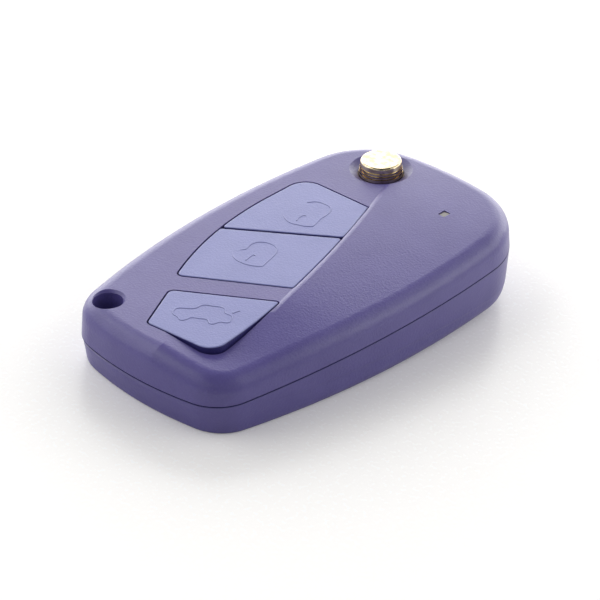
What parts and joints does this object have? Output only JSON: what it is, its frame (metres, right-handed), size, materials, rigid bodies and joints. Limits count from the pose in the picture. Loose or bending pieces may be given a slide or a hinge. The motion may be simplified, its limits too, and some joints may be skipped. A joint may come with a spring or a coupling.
{
  "type": "flip key remote shell",
  "caption": "Flip key remote: wedge-shaped moulded case with three flush keys, chrome release button and a blade that swings out of its side.",
  "frame": {"origin": "centre of the case on the surface it lies on, back downwards", "axes": "+Z out of the flat back, +Y to the end with the release button, +X to the sloped wing side"},
  "size_m": [0.0422, 0.0739, 0.0169],
  "materials": {
    "case": "fine spark-eroded texture, satin",
    "keys": "fine matte texture",
    "chrome": "polished top, turned grip",
    "lens": "smoked clear",
    "silicone": "matte",
    "board": "solder mask",
    "chip": "moulded",
    "switch_steel": "pressed",
    "plunger": "moulded",
    "led": "clear",
    "cell": "satin",
    "contact": "sprung strip",
    "transponder": "moulded",
    "head": "die cast, plated dark",
    "blade": "milled",
    "spring": "spring wire",
    "screw": "zinc plated"
  },
  "bodies": {
    "case": {"upper_shell": "case", "lower_shell": "case", "keypad_mat": "silicone", "circuit_board": "board", "unlock_switch": "switch_steel", "lock_switch": "switch_steel", "trunk_switch": "switch_steel", "microcontroller": "chip", "crystal": "switch_steel", "status_led": "led", "light_window": "lens", "coin_cell": "cell", "cell_clip": "contact", "cell_contact": "contact", "transponder_chip": "transponder", "hub_spring": "spring", "case_screw": "screw"},
    "release_button": {"release_button": "chrome"},
    "blade": {"flip_head": "head", "key_blade": "blade", "blade_pin": "blade"},
    "unlock_key": {"unlock_key": "keys", "unlock_plunger": "plunger"},
    "lock_key": {"lock_key": "keys", "lock_plunger": "plunger"},
    "trunk_key": {"trunk_key": "keys", "trunk_plunger": "plunger"}
  },
  "joints": [
    {"name": "blade_flip", "type": "hinge", "parent": "case", "child": "blade", "pos_m": [-0.0077, 0.02768, 0.0088], "axis": [0.0266, 0.0685, -0.9973], "range_deg": [0, 180]},
    {"name": "release_press", "type": "slide", "parent": "case", "child": "release_button", "axis": [0.0266, 0.0685, -0.9973], "range_m": [0, 0.0015], "stiffness_N_per_m": 1500, "springref_m": -0.002, "deforming": ["hub_spring"]},
    {"name": "unlock_key_press", "type": "slide", "parent": "case", "child": "unlock_key", "axis": [0.0266, 0.0685, -0.9973], "range_m": [0, 0.0004], "stiffness_N_per_m": 2000, "springref_m": -0.0004, "deforming": ["keypad_mat"]},
    {"name": "lock_key_press", "type": "slide", "parent": "case", "child": "lock_key", "axis": [0.0266, 0.0685, -0.9973], "range_m": [0, 0.0004], "stiffness_N_per_m": 2000, "springref_m": -0.0004, "deforming": ["keypad_mat"]},
    {"name": "trunk_key_press", "type": "slide", "parent": "case", "child": "trunk_key", "axis": [0.0266, 0.0685, -0.9973], "range_m": [0, 0.0004], "stiffness_N_per_m": 2000, "springref_m": -0.0004, "deforming": ["keypad_mat"]}
  ]
}
